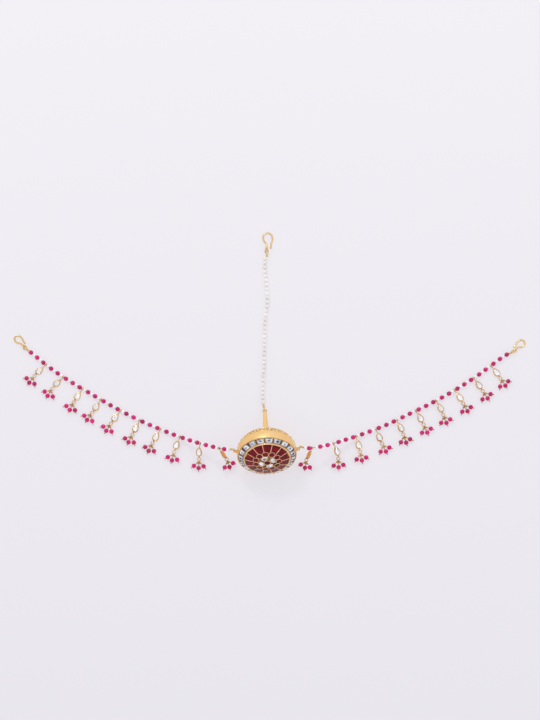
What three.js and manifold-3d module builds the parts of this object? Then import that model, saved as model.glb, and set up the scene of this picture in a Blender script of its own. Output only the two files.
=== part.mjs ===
import * as THREE from 'three';
import { mergeVertices } from 'three/addons/utils/BufferGeometryUtils.js';
import Module from 'manifold-3d';

// A maang tikka: a domed pendant for the forehead, two side strings of ruby beads with small drops,
// and a string of pearls for the parting of the hair, each string ending in a hook.
// It lies on its back on a table, face up. Millimetres: +X to the right of the face, +Y towards the
// top hook, +Z up from the table. The widest circle of the pendant is centred over x = y = 0.

// The face of the pendant, from its centre outwards
const centreRubyRadius = 2.0;
const rosetteWidth = 3.3;
const ovalWidth = 3.1;
const petalLength = 4.8;
const wallWidth = 0.6;
const clearStoneWidth = 3.1;
const lipWidth = 0.3;
const seatGap = 0.3;
const fieldGap = 0.4;
const rosetteCount = 4;
const ovalCount = 11;
const petalCount = 14;
const clearStoneCount = 19;
const rosetteTurn = -23.5;
const ovalTurn = -8;
const petalTurn = 1.5;
const clearStoneTurn = 5.5;
const stoneSideGap = 0.5;
const stoneDepth = 1.2;
const ovalPoints = 8;
const stoneProud = 0.3;
const bandThickness = 0.6;

// The body of the pendant and its stem
const rimInset = 0.2;
const rimRise = 2.5;
const domeRise = 5.9;
const backDepth = 13.5;
const bodySides = 24;
const backSteps = 5;
const stemLength = 33.8;
const stemTipRadius = 1.2;
const stemFootRadius = 2.1;
const faceTilt = 62.5;
const faceLean = 2.5;

// Rings, loops and wires
const eyeRadius = 1.15;
const eyeWire = 0.4;
const linkWire = 0.35;
const ringRadius = 1.35;
const earBack = 1.9;
const ringSides = 10;
const wireSides = 5;

// The hooks: plan of the wire from its eye, round the bow, to the free tip
const hookWire = 0.55;
const hookSides = 6;
const hookSteps = 15;
const hookLegShare = 0.15;
const eyeLean = 50;
const sideHookSize = 0.76;
const hookPlan = [
  [0.1, 1.1], [0.1, 2.8], [-0.3, 4.3], [-1.5, 5.8], [-2.2, 7.7], [-1.9, 9.5], [-0.8, 10.9],
  [0.8, 11.3], [2.3, 10.8], [3.4, 9.6], [3.9, 7.4], [3.6, 5.5], [2.9, 3.6], [2.9, 1.0],
];
const hooks = {
  left_hook: { eye: [-158.0, 73.7], turn: 42, size: sideHookSize, flip: 1 },
  right_hook: { eye: [161.3, 71.2], turn: -46, size: sideHookSize, flip: -1 },
  top_hook: { eye: [-0.2, 138.2], turn: 0, size: 1, flip: 1 },
};

// The strings
const threadRadius = 0.3;
const threadSides = 3;
const beadRadius = 1.5;
const beadShoulder = 0.5;
const whiteBeadLength = 2.3;
const dropSlot = 1.1;
const beadSides = 10;
const endGap = 2.2;
const descent = 45;
const descentPower = 1.4;
const pearlRadius = 1.4;
const pearlPitch = 2.9;
const pearlEndGap = 1.5;
const pearlNeck = 0.35;

// Along a side string from the hook inwards: P ruby bead, W white bead, D drop, S slack thread
const slack = 1.7;
const beadRun = 'PWPWPDWPWPWD';
const beadPatterns = {
  left: beadRun.repeat(5) + 'SPW',
  right: beadRun.repeat(4) + 'PWPWPSDWPWPWSDPW',
};

// Where the strings lie on the table, chosen by hand from hook to pendant
const routes = {
  left_string: [
    [-153.3, 69.7], [-140.5, 59.3], [-126.5, 49.7], [-112.0, 41.0], [-97.5, 32.5],
    [-81.0, 24.0], [-65.5, 17.3], [-49.5, 10.6], [-39.5, 6.9], [-28.0, 3.2],
  ],
  right_string: [
    [155.2, 67.9], [137.4, 54.8], [123.4, 45.5], [107.8, 36.6], [92.6, 29.0],
    [77.5, 21.7], [61.3, 15.2], [49.8, 10.7], [38.7, 6.6], [28.0, 3.8],
  ],
  pearl_string: [
    [0.3, 135.0], [-1.2, 131.0], [-0.5, 117.2], [0.4, 103.2], [-0.5, 96.6], [-1.2, 89.1],
    [-1.5, 75.1], [-1.9, 59.4], [-2.4, 48.6], [-2.6, 38.0],
  ],
};

// The drops: a bail round the thread, a leaf with a clear stone, and three ruby beads on pins
const bailGap = 0.35;
const bailWall = 0.4;
const bailWidth = 0.8;
const leafStart = 2.3;
const leafLength = 6.4;
const leafWidth = 4.2;
const leafThickness = 1.0;
const leafCrown = 0.6;
const leafTable = 0.45;
const leafTaper = 0.25;
const leafPoints = 8;
const linkLength = 3.1;
const linkRadius = 0.45;
const pinRadius = 0.3;
const pinLength = 4.4;
const pinFan = 46;
const pinTip = 0.8;

// How each drop lies, from the hook inwards: degrees from square to the string, the bend at the
// link, and the roll of the leaf about its own length
const dropPoses = {
  left: [
    { swing: -9, bend: -12, roll: 0 },
    { swing: -12, bend: -14, roll: 0 },
    { swing: -3, bend: -7, roll: 0 },
    { swing: -2, bend: 1, roll: 0 },
    { swing: -9, bend: -6, roll: 0 },
    { swing: -1, bend: -1, roll: 0 },
    { swing: -7, bend: -4, roll: 0 },
    { swing: 1, bend: -6, roll: 8 },
    { swing: 16, bend: -1, roll: 25 },
    { swing: 62, bend: 19, roll: 80 },
  ],
  right: [
    { swing: -1, bend: 3, roll: -15 },
    { swing: 0, bend: 1, roll: -18 },
    { swing: 2, bend: 5, roll: -12 },
    { swing: -1, bend: 6, roll: -25 },
    { swing: 3, bend: 4, roll: -15 },
    { swing: 0, bend: 7, roll: -22 },
    { swing: 0, bend: -4, roll: -8 },
    { swing: -6, bend: 4, roll: -12 },
    { swing: 2, bend: 18, roll: -30 },
    { swing: -46, bend: -18, roll: -80 },
  ],
};

const up = new THREE.Vector3(0, 0, 1);
const radians = THREE.MathUtils.degToRad;
const smallestEdge = 0.02;
const gold = new THREE.MeshStandardMaterial({ color: 0xd9a441, roughness: 0.25, metalness: 1 });
const ruby = new THREE.MeshStandardMaterial({ color: 0x8e0a2c, roughness: 0.12, metalness: 0 });
const rubyBead = new THREE.MeshStandardMaterial({ color: 0xc0175c, roughness: 0.18, metalness: 0 });
const clear = new THREE.MeshStandardMaterial({ color: 0xe4e6ea, roughness: 0.08, metalness: 0 });
const pearl = new THREE.MeshStandardMaterial({ color: 0xf1ebe2, roughness: 0.3, metalness: 0 });

// Joining and cutting closed meshes

const wasm = await Module();
wasm.setup();

// Merges equal corners and leaves out the triangles that shrink to a line at poles and thin rings
function weld(geometry) {
  const bare = geometry.clone();
  bare.deleteAttribute('normal');
  bare.deleteAttribute('uv');
  const merged = mergeVertices(bare, 1e-4);
  const corners = merged.index.array;
  const kept = [];
  for (let i = 0; i < corners.length; i += 3) {
    const [a, b, c] = corners.slice(i, i + 3);
    if (a !== b && b !== c && c !== a) kept.push(a, b, c);
  }
  merged.setIndex(kept);
  return merged;
}

function solidOf(geometry) {
  const merged = weld(geometry);
  return new wasm.Manifold(new wasm.Mesh({
    numProp: 3,
    vertProperties: new Float32Array(merged.attributes.position.array),
    triVerts: new Uint32Array(merged.index.array),
  }));
}

function geometryOf(solid) {
  const { vertProperties, triVerts } = solid.getMesh();
  const geometry = new THREE.BufferGeometry();
  geometry.setAttribute('position', new THREE.BufferAttribute(vertProperties, 3));
  geometry.setIndex(new THREE.BufferAttribute(triVerts, 1));
  return geometry;
}

function fuse(pieces) {
  return geometryOf(pieces.map(solidOf).reduce((whole, next) => whole.add(next)).simplify(smallestEdge));
}

// Skins over rings of points

// Closed skin through rings of equally many points, each ring turning left about the way ahead
function skin(rings) {
  const count = rings[0].length;
  const last = (rings.length - 1) * count;
  const index = [];
  for (let r = 0; r < last; r += count) {
    for (let k = 0; k < count; k += 1) {
      const next = (k + 1) % count;
      index.push(r + k, r + next, r + count + next, r + k, r + count + next, r + count + k);
    }
  }
  for (let k = 1; k < count - 1; k += 1) {
    index.push(0, k + 1, k, last, last + k, last + k + 1);
  }
  const geometry = new THREE.BufferGeometry().setFromPoints(rings.flat());
  geometry.setIndex(index);
  return geometry;
}

// Ring of points round a curve; with fewer corners than sides, neighbouring points fall together
function ringOn(curve, distance, radius, sides, corners = sides) {
  const share = THREE.MathUtils.clamp(distance / curve.getLength(), 0, 1);
  const centre = curve.getPointAt(share);
  const ahead = curve.getTangentAt(share);
  const side = new THREE.Vector3().crossVectors(up, ahead).normalize();
  const over = new THREE.Vector3().crossVectors(ahead, side);
  return Array.from({ length: sides }, (_, k) => {
    const angle = (2 * Math.PI * Math.floor((k * corners) / sides)) / corners;
    return centre.clone()
      .addScaledVector(side, radius * Math.cos(angle))
      .addScaledVector(over, radius * Math.sin(angle));
  });
}

// Curve with its plan from one curve and its height from a rule, so that it never dips in between
class RaisedCurve extends THREE.Curve {
  constructor(plan, heightAt) {
    super();
    this.plan = plan;
    this.heightAt = heightAt;
    this.arcLengthDivisions = 1000;
  }

  getPoint(share, target = new THREE.Vector3()) {
    const point = this.plan.getPoint(share, target);
    point.z = this.heightAt(point, share);
    return point;
  }
}

function wire(curve, radius, sides, steps) {
  const length = curve.getLength();
  const rings = Array.from({ length: steps + 1 }, (_, i) => (
    ringOn(curve, (length * i) / steps, radius, sides)));
  return skin(rings);
}

// Thread with its beads: each bead is a belt between two cones that end on the thread
function beadedThread(curve, beads, thread) {
  const rings = [ringOn(curve, 0, thread, beadSides, threadSides)];
  for (const { at, radius, half } of beads) {
    rings.push(ringOn(curve, at - half, thread, beadSides, threadSides));
    rings.push(ringOn(curve, at - half * beadShoulder, radius, beadSides));
    rings.push(ringOn(curve, at + half * beadShoulder, radius, beadSides));
    rings.push(ringOn(curve, at + half, thread, beadSides, threadSides));
  }
  rings.push(ringOn(curve, curve.getLength(), thread, beadSides, threadSides));
  return skin(rings);
}

// Pin from a joint to the middle of a bead, with the bead closed over its end
function pinWithBead(from, middle) {
  const pin = new THREE.LineCurve3(from, middle);
  const length = pin.getLength();
  const end = middle.clone().addScaledVector(pin.getTangentAt(1), beadRadius);
  const line = new THREE.LineCurve3(from, end);
  return skin([
    ringOn(line, 0, pinRadius, beadSides, threadSides),
    ringOn(line, length - beadRadius, pinRadius, beadSides, threadSides),
    ringOn(line, length - beadRadius * beadShoulder, beadRadius, beadSides),
    ringOn(line, length + beadRadius * beadShoulder, beadRadius, beadSides),
    ringOn(line, length + beadRadius, 0, beadSides),
  ]);
}

function torus(radius, tube, centre, axis) {
  const turn = new THREE.Quaternion().setFromUnitVectors(up, axis.clone().normalize());
  return new THREE.TorusGeometry(radius, tube, wireSides, ringSides)
    .applyQuaternion(turn)
    .translate(...centre);
}

// Face of the pendant, in its own frame: +Z out of the face, z = 0 at the widest circle

const rosetteInner = centreRubyRadius + seatGap;
const ovalInner = rosetteInner + rosetteWidth + fieldGap;
const petalInner = ovalInner + ovalWidth + fieldGap;
const wallInner = petalInner + petalLength + seatGap;
const clearInner = wallInner + wallWidth + seatGap;
const lipInner = clearInner + clearStoneWidth + seatGap;
const faceRadius = lipInner + lipWidth;
const bodyRadius = faceRadius + rimInset;
const domeCurve = (faceRadius ** 2 + domeRise ** 2) / (2 * domeRise);
const bedDepth = stoneDepth + seatGap;

function domeAt(radius) {
  return rimRise + domeRise - domeCurve + Math.sqrt(domeCurve ** 2 - radius ** 2);
}

// Stone on the dome: an outline of [outwards, sideways] points, as wide as share says at each lift
function stoneOnDome(radius, degrees, outline, levels) {
  const slope = radius / Math.sqrt(domeCurve ** 2 - radius ** 2);
  const rings = levels.map(({ share, lift }) => outline.map(([out, side]) => (
    new THREE.Vector3(radius + out * share, side * share, domeAt(radius) + lift - out * share * slope))));
  return skin(rings).rotateZ(radians(90 - degrees));
}

function ovalOutline(halfLength, halfWidth, points) {
  return Array.from({ length: points }, (_, k) => {
    const angle = (2 * Math.PI * (k + 0.5)) / points;
    return [halfLength * Math.cos(angle), halfWidth * Math.sin(angle)];
  });
}

// Stone with straight radial sides, a gap apart from its neighbours, between two circles
function sectorOutline(inner, length, count, gap) {
  const half = Math.PI / count;
  const outer = inner + length;
  const middle = inner + length / 2;
  const innerSide = inner * Math.tan(half) - gap / 2;
  const outerSide = outer * Math.sin(half) - gap / 2;
  const outerEdge = outer * Math.cos(half);
  return [
    [inner - middle, -innerSide], [outerEdge - middle, -outerSide],
    [outerEdge - middle, outerSide], [inner - middle, innerSide],
  ];
}

// Ring of gold that carries the stones of one field, flat-sided so that one side lies at each stone
function settingBand(inner, outer, sides, turn) {
  const top = (radius) => domeAt(radius) - bandThickness;
  const bottom = (radius) => domeAt(radius) - stoneDepth;
  const innerCorner = inner / Math.cos(Math.PI / sides);
  const profile = [
    [innerCorner, bottom(inner)], [outer, bottom(outer)], [outer, top(outer)], [innerCorner, top(inner)],
    [innerCorner, bottom(inner)],
  ].map(([radius, height]) => new THREE.Vector2(radius, height));
  return new THREE.LatheGeometry(profile, sides)
    .rotateX(Math.PI / 2)
    .rotateZ(Math.PI - Math.PI / sides - radians(turn));
}

const stoneSunk = -bandThickness - seatGap;

function clearStoneRing() {
  const middle = clearInner + clearStoneWidth / 2;
  const halfLength = clearStoneWidth / 2 - stoneSideGap / 2;
  const halfWidth = clearInner * Math.tan(Math.PI / clearStoneCount) - stoneSideGap / 2;
  const outline = [
    [-halfLength, -halfWidth], [halfLength, -halfWidth], [halfLength, halfWidth], [-halfLength, halfWidth],
  ];
  const levels = [
    { share: 1, lift: stoneSunk }, { share: 1, lift: -stoneProud / 2 },
    { share: 0.75, lift: stoneProud / 2 }, { share: 0.45, lift: stoneProud },
  ];
  const turn = 360 / clearStoneCount;
  const stones = Array.from({ length: clearStoneCount }, (_, i) => (
    stoneOnDome(middle, clearStoneTurn + i * turn, outline, levels)));
  const band = settingBand(clearInner, lipInner - seatGap, clearStoneCount, clearStoneTurn);
  return fuse([band, ...stones]);
}

function rubyPetal(i) {
  const middle = petalInner + petalLength / 2;
  const outline = sectorOutline(petalInner, petalLength, petalCount, stoneSideGap);
  const levels = [
    { share: 1, lift: -stoneDepth }, { share: 1, lift: -stoneProud / 2 }, { share: 0.8, lift: stoneProud },
  ];
  return weld(stoneOnDome(middle, petalTurn + (360 / petalCount) * i, outline, levels));
}

function stoneField(inner, width, count, turn, sideways) {
  const middle = inner + width / 2;
  const outline = ovalOutline(width / 2, sideways, ovalPoints);
  const levels = [
    { share: 1, lift: stoneSunk }, { share: 1, lift: 0 }, { share: 0.6, lift: stoneProud },
  ];
  const stones = Array.from({ length: count }, (_, i) => (
    stoneOnDome(middle, turn + (360 / count) * i, outline, levels)));
  const band = settingBand(inner, inner + width, Math.max(count, ringSides), turn);
  return fuse([band, ...stones]);
}

function rubyOvalRing() {
  const middle = ovalInner + ovalWidth / 2;
  const sideways = middle * Math.tan(Math.PI / ovalCount) - stoneSideGap / 2;
  return stoneField(ovalInner, ovalWidth, ovalCount, ovalTurn, sideways);
}

function clearRosette() {
  const middle = rosetteInner + rosetteWidth / 2;
  const sideways = middle * Math.sin(Math.PI / rosetteCount) - stoneSideGap / 2;
  return stoneField(rosetteInner, rosetteWidth, rosetteCount, rosetteTurn, sideways);
}

function centreRuby() {
  const outline = ovalOutline(centreRubyRadius, centreRubyRadius, ringSides);
  const levels = [
    { share: 1, lift: -stoneDepth }, { share: 1, lift: 0 }, { share: 0.6, lift: stoneProud },
  ];
  return weld(stoneOnDome(0, 0, outline, levels));
}

// Body: one turned gold shell with its stem, groove and stone bed, and the three soldered eyes
function bodyEyes() {
  const across = new THREE.Vector3(0, 1, 0);
  const earSeat = bodyRadius * Math.sqrt(1 - (earBack / backDepth) ** 2) + eyeRadius - eyeWire / 2;
  return {
    left: { centre: new THREE.Vector3(-earSeat, 0, -earBack), across },
    right: { centre: new THREE.Vector3(earSeat, 0, -earBack), across },
    top: { centre: new THREE.Vector3(0, 0, -stemLength - eyeRadius + eyeWire / 2), across },
  };
}

function pendantBody() {
  const profile = [[0, -stemLength], [stemTipRadius, -stemLength]];
  const footShare = stemFootRadius / bodyRadius;
  const footAngle = Math.asin(footShare);
  profile.push([stemFootRadius, -backDepth * Math.cos(footAngle)]);
  for (let i = 1; i <= backSteps; i += 1) {
    const angle = footAngle + ((Math.PI / 2 - footAngle) * i) / backSteps;
    profile.push([bodyRadius * Math.sin(angle), -backDepth * Math.cos(angle)]);
  }
  profile.push([faceRadius, rimRise], [lipInner, rimRise + lipWidth]);
  profile.push([lipInner, domeAt(lipInner) - bedDepth]);
  profile.push([clearInner - seatGap, domeAt(clearInner) - bedDepth]);
  profile.push([clearInner - seatGap, domeAt(clearInner)], [wallInner, domeAt(wallInner)]);
  profile.push([wallInner, domeAt(wallInner) - bedDepth], [petalInner, domeAt(petalInner) - bedDepth]);
  profile.push([rosetteInner, domeAt(rosetteInner) - bedDepth], [0, domeAt(0) - bedDepth]);
  const turned = new THREE.LatheGeometry(profile.map(([r, z]) => new THREE.Vector2(r, z)), bodySides)
    .rotateX(Math.PI / 2);
  const eyes = Object.values(bodyEyes())
    .map(({ centre, across }) => torus(eyeRadius, eyeWire, centre, across));
  return fuse([turned, ...eyes]);
}

// Assembly

const jewel = new THREE.Group();

function add(parent, name, geometry, material) {
  const mesh = new THREE.Mesh(geometry, material);
  mesh.name = name;
  parent.add(mesh);
  return mesh;
}

const twoDigits = (i) => String(i + 1).padStart(2, '0');

const pendant = new THREE.Group();
const body = add(pendant, 'pendant_body', pendantBody(), gold);
add(pendant, 'clear_stone_ring', clearStoneRing(), clear);
for (let i = 0; i < petalCount; i += 1) {
  add(pendant, `ruby_petal_${twoDigits(i)}`, rubyPetal(i), ruby);
}
add(pendant, 'ruby_oval_ring', rubyOvalRing(), ruby);
add(pendant, 'clear_rosette', clearRosette(), clear);
add(pendant, 'centre_ruby', centreRuby(), ruby);
pendant.rotation.set(radians(faceTilt), 0, radians(faceLean), 'ZXY');
jewel.add(pendant);
jewel.updateMatrixWorld(true);
pendant.position.z = -new THREE.Box3().setFromObject(body, true).min.z;
jewel.updateMatrixWorld(true);

// Hooks, each with its eye raised to the height of the strings

const eyeHeight = beadRadius;

// Axis of a hook's eye, which leans over to one side of the hook
function eyeAcross(turn) {
  return up.clone()
    .applyAxisAngle(new THREE.Vector3(0, 1, 0), radians(eyeLean))
    .applyAxisAngle(up, radians(turn));
}

function hook({ turn, size, flip }) {
  const rest = hookWire * Math.cos(Math.PI / hookSides);
  const rise = eyeHeight - rest;
  const plan = new THREE.CatmullRomCurve3(hookPlan.map(([x, y]) => (
    new THREE.Vector3(flip * size * x, Math.max(size * y, eyeRadius), 0))));
  const heightAt = (point, share) => rest + rise * Math.max(0, 1 - share / hookLegShare);
  const bow = wire(new RaisedCurve(plan, heightAt), hookWire, hookSides, hookSteps);
  const eye = torus(eyeRadius, eyeWire, new THREE.Vector3(0, 0, eyeHeight), eyeAcross(0));
  return fuse([bow, eye]).rotateZ(radians(turn));
}

const hookEyes = {};
for (const [name, place] of Object.entries(hooks)) {
  const [x, y] = place.eye;
  add(jewel, name, hook(place), gold).position.set(x, y, 0);
  hookEyes[name] = { centre: new THREE.Vector3(x, y, eyeHeight), across: eyeAcross(place.turn) };
}

// Strings

// Link that holds the end of a thread to an eye: it passes through the eye and round its wire
function threadEnd({ centre, across }, towards) {
  const ahead = towards.clone().sub(centre);
  ahead.addScaledVector(across, -ahead.dot(across)).normalize();
  const rim = centre.clone().addScaledVector(ahead, eyeRadius);
  const start = rim.clone().addScaledVector(ahead, ringRadius);
  const axis = new THREE.Vector3().crossVectors(ahead, across);
  return { start, link: torus(ringRadius, linkWire, rim, axis) };
}

function eyeOnPendant(side) {
  const { centre, across } = bodyEyes()[side];
  return {
    centre: pendant.localToWorld(centre.clone()),
    across: across.clone().transformDirection(pendant.matrixWorld),
  };
}

// Route of a string: on the table, then rising to the eye on the pendant over its last stretch
function routeOf(name, hookName, side, lyingHeight) {
  const points = routes[name].map(([x, y]) => new THREE.Vector3(x, y, lyingHeight));
  const first = threadEnd(hookEyes[hookName], points[0]);
  const last = threadEnd(eyeOnPendant(side), points[points.length - 1]);
  const rise = Math.max(0, last.start.z - lyingHeight);
  const heightAt = ({ x, y }) => {
    const away = Math.hypot(x - last.start.x, y - last.start.y);
    return lyingHeight + rise * Math.max(0, 1 - away / descent) ** descentPower;
  };
  const plan = new THREE.CatmullRomCurve3([first.start, ...points, last.start]);
  return { curve: new RaisedCurve(plan, heightAt), links: [first.link, last.link] };
}

function pearlString() {
  const { curve, links } = routeOf('pearl_string', 'top_hook', 'top', pearlRadius);
  const length = curve.getLength();
  const count = Math.floor((length - 2 * pearlEndGap) / pearlPitch);
  const start = (length - count * pearlPitch) / 2;
  const pearls = Array.from({ length: count }, (_, i) => (
    { at: start + (i + 0.5) * pearlPitch, radius: pearlRadius, half: pearlPitch / 2 }));
  return fuse([beadedThread(curve, pearls, pearlNeck), ...links]);
}

// Places along a side string, from the hook inwards, as far as the thread reaches
function placesOn(length, pattern) {
  const sizes = { P: 2 * beadRadius, W: whiteBeadLength, D: dropSlot, S: slack };
  const places = { P: [], W: [], D: [], S: [] };
  let along = endGap;
  for (const kind of pattern) {
    const end = along + sizes[kind];
    if (end < length) places[kind].push((along + end) / 2);
    along = end;
  }
  return places;
}

function sideString(curve, links, places) {
  const beads = places.P.map((at) => ({ at, radius: beadRadius, half: beadRadius }));
  return fuse([beadedThread(curve, beads, threadRadius), ...links]);
}

// Drops, each in its own frame: +Y along the drop, +Z out of the leaf, the thread at the origin

const bailMiddle = threadRadius + bailGap + bailWall / 2;

function inPlane(degrees) {
  return new THREE.Vector3(Math.sin(radians(degrees)), Math.cos(radians(degrees)), 0);
}

// Middle of the bail's wall on the side of the leaf, at about the height of the leaf
function bailSeat(tangent, height) {
  const lift = THREE.MathUtils.clamp(height, -bailMiddle * Math.SQRT1_2, 0);
  const towards = new THREE.Vector3(0, Math.sqrt(bailMiddle ** 2 - lift ** 2), lift);
  return towards.projectOnPlane(tangent).setLength(bailMiddle);
}

const leafMiddle = leafStart + leafLength / 2;

// Pear outline whose tip is drawn out to a given point
function leafOutline(tip) {
  return Array.from({ length: leafPoints }, (_, k) => {
    const angle = (2 * Math.PI * k) / leafPoints;
    const half = (leafWidth / 2) * (1 - leafTaper * Math.cos(angle));
    return k === 0 ? tip : new THREE.Vector3(
      half * Math.sin(angle), leafMiddle - (leafLength / 2) * Math.cos(angle), 0);
  });
}

// Leaf with its stone, rolled about its own length, its lowest edge level with the bottom of a bead
function leaf(tangent, roll) {
  const levels = [
    { share: 1, height: 0 }, { share: 1, height: leafThickness },
    { share: leafTable, height: leafThickness + leafCrown },
  ];
  const lean = radians(roll);
  const seat = Math.abs(Math.sin(lean)) * (leafWidth / 2) - beadRadius;
  const place = new THREE.Matrix4().makeRotationY(lean).setPosition(0, 0, seat);
  const tip = bailSeat(tangent, seat + (leafThickness / 2) * Math.cos(lean))
    .applyMatrix4(place.clone().invert());
  tip.z -= leafThickness / 2;
  const rings = levels.map(({ share, height }) => leafOutline(tip).map((point) => (
    new THREE.Vector3(point.x * share, leafMiddle + (point.y - leafMiddle) * share, point.z + height))));
  const middle = seat + ((leafThickness + leafCrown) / 2) * Math.cos(lean);
  return { geometry: skin(rings).applyMatrix4(place), middle };
}

function dropGeometry(tangent, { bend, roll }) {
  const { geometry: leafBody, middle } = leaf(tangent, roll);
  const overlap = linkRadius;
  const leafFoot = new THREE.Vector3(0, leafStart + leafLength - overlap, Math.min(0, middle));
  const toKnot = overlap + linkLength;
  const beadAt = (fan) => new THREE.Vector3(0, leafFoot.y, 0)
    .addScaledVector(inPlane(bend), toKnot)
    .addScaledVector(inPlane(bend + fan), pinLength);
  const knot = leafFoot.clone().lerp(beadAt(0), toKnot / (toKnot + pinLength));
  return fuse([
    bail(tangent),
    leafBody,
    pinWithBead(leafFoot, beadAt(0)),
    pinWithBead(knot, beadAt(-pinFan)),
    pinWithBead(knot, beadAt(pinFan)),
  ]);
}

// Bail: a ridged gold band round the thread
function bail(tangent) {
  const inner = threadRadius + bailGap;
  const half = bailWidth / 2;
  const profile = [[inner, -half], [inner + bailWall, 0], [inner, half], [inner, -half]]
    .map(([r, z]) => new THREE.Vector2(r, z));
  return new THREE.LatheGeometry(profile, ringSides)
    .applyQuaternion(new THREE.Quaternion().setFromUnitVectors(new THREE.Vector3(0, 1, 0), tangent));
}

// Direction of a drop: square to the string in plan, swung, and pitched until its beads meet the table
function dropAxes(place, tangent, swing) {
  const square = new THREE.Vector3(tangent.y, -tangent.x, 0)
    .multiplyScalar(Math.sign(tangent.x))
    .normalize();
  square.applyAxisAngle(up, radians(swing));
  const reach = leafStart + leafLength + linkLength + pinLength + pinTip;
  const pitch = Math.asin(Math.min(1, Math.max(0, place.z - beadRadius) / reach));
  const ahead = square.clone().multiplyScalar(Math.cos(pitch)).addScaledVector(up, -Math.sin(pitch));
  const face = square.multiplyScalar(Math.sin(pitch)).addScaledVector(up, Math.cos(pitch));
  const side = new THREE.Vector3().crossVectors(ahead, face);
  return new THREE.Matrix4().makeBasis(side, ahead, face);
}

for (const side of ['left', 'right']) {
  const { curve, links } = routeOf(`${side}_string`, `${side}_hook`, side, beadRadius);
  const places = placesOn(curve.getLength(), beadPatterns[side]);
  add(jewel, `${side}_string`, sideString(curve, links, places), rubyBead);
  dropPoses[side].slice(0, places.D.length).forEach((pose, i) => {
    const share = places.D[i] / curve.getLength();
    const place = curve.getPointAt(share);
    const tangent = curve.getTangentAt(share);
    const axes = dropAxes(place, tangent, pose.swing);
    const drop = new THREE.Group();
    drop.quaternion.setFromRotationMatrix(axes);
    drop.position.copy(place);
    const inDrop = tangent.clone().applyMatrix4(axes.clone().transpose());
    add(drop, `${side}_drop_${twoDigits(i)}`, dropGeometry(inDrop, pose), gold);
    jewel.add(drop);
  });
}
add(jewel, 'pearl_string', pearlString(), pearl);

// Origin at the middle of the jewel's plan, on the table
jewel.updateMatrixWorld(true);
const box = new THREE.Box3().setFromObject(jewel, true);
jewel.position.set(-(box.min.x + box.max.x) / 2, -(box.min.y + box.max.y) / 2, -box.min.z);
jewel.updateMatrixWorld(true);

export default jewel;
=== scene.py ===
"""Looks of a maang tikka: a domed pendant, two side strings with small drops and a pearl string.

It lies on its back on a pale surface. Shapes are worked out in millimetres, with the widest circle of
the pendant centred over x = y = 0, and are moved to the place of the CAD part when they are finished.
"""

import math

import bmesh
import bpy
from mathutils import Matrix, Vector


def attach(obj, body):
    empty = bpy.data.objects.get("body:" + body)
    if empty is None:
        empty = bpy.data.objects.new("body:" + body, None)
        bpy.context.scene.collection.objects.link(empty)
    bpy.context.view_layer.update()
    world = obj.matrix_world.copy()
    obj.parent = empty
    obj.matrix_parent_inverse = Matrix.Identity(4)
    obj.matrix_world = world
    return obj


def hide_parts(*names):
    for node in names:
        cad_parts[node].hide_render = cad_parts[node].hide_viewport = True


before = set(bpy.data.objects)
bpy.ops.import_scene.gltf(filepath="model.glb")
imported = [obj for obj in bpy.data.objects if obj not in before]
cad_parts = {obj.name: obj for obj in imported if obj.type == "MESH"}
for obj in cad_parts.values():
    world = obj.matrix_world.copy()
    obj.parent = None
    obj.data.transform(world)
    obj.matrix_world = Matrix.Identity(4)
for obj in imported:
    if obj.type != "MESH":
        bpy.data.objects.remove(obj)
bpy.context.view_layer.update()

# Pendant body
# The gold shell of the domed pendant, filled with lac, with a tapered stem at its back. It is pressed
# from gold sheet, burnished to a satin sheen, with a stamped band and soldered granules round the back.
# Three wire eyes are soldered on: one at each side and one at the tip of the stem.

UP = Vector((0, 0, 1))
MM = 0.001

CENTRE_RUBY_RADIUS = 2.0
PETAL_INNER = 9.5
PETAL_LENGTH = 4.8
CLEAR_INNER = 15.5
CLEAR_WIDTH = 3.1
LIP_INNER = 18.9
FACE_RADIUS = 19.2
BODY_RADIUS = 19.4
RIM_RISE = 2.5
DOME_RISE = 5.9
BACK_DEPTH = 13.5
STEM_LENGTH = 33.8
STEM_FOOT = 2.1
STEM_TIP = 1.2
FACE_TILT = 62.5
FACE_LEAN = 2.5
EYE_RADIUS = 1.15
EYE_WIRE = 0.4
EAR_BACK = 1.9
CAD_RUBY_HEIGHT = 8.1
DOME_CURVE = (FACE_RADIUS**2 + DOME_RISE**2) / (2 * DOME_RISE)
FLOOR_LIFT = -0.75

BAND_FRONT = -3.0
BAND_BACK = -7.0
BAND_RADIUS = 17.5
BAND_MOTIFS = 24
# Hollows of one motif of the stamped band: share of its width, height and size, squeezed in height
BAND_HOLLOWS = [(0.25, -4.1, 0.8), (0.72, -4.7, 0.75), (0.5, -6.0, 0.7), (0.98, -5.9, 0.75)]
HOLLOW_SQUEEZE = 1.3
# Granules along the band: height, step up and down from it by turns, and radius
BAND_GRAINS = [(BAND_BACK - 0.75, 0.0, 0.5), (-5.2, 0.7, 0.62)]
FOOT_GRAINS = 9
FOOT_GRAIN_RADIUS = 0.55
FOOT_GRAIN_AWAY = 2.6
FOOT_GRAIN_HEIGHT = -13.65
COLLAR_HEIGHT = -15.2
COLLAR_WIRE = 0.28
SHELL_SIDES = 120

TURNED = Matrix.Rotation(math.radians(FACE_LEAN), 4, "Z") @ Matrix.Rotation(math.radians(FACE_TILT), 4, "X")


def node_middle(name):
    """Mean of the separate corners of a CAD node, in millimetres."""
    corners = {tuple(round(c, 7) for c in v.co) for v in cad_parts[name].data.vertices}
    total = Vector((0, 0, 0))
    for corner in corners:
        total += Vector(corner)
    return total / len(corners) / MM


face_centre = node_middle("centre_ruby") - TURNED @ Vector((0, 0, CAD_RUBY_HEIGHT))
part_origin = Vector((face_centre.x, face_centre.y, 0))
PENDANT = Matrix.Translation((0, 0, face_centre.z)) @ TURNED
TO_ROW = Matrix.Scale(MM, 4) @ Matrix.Translation(part_origin)


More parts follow.
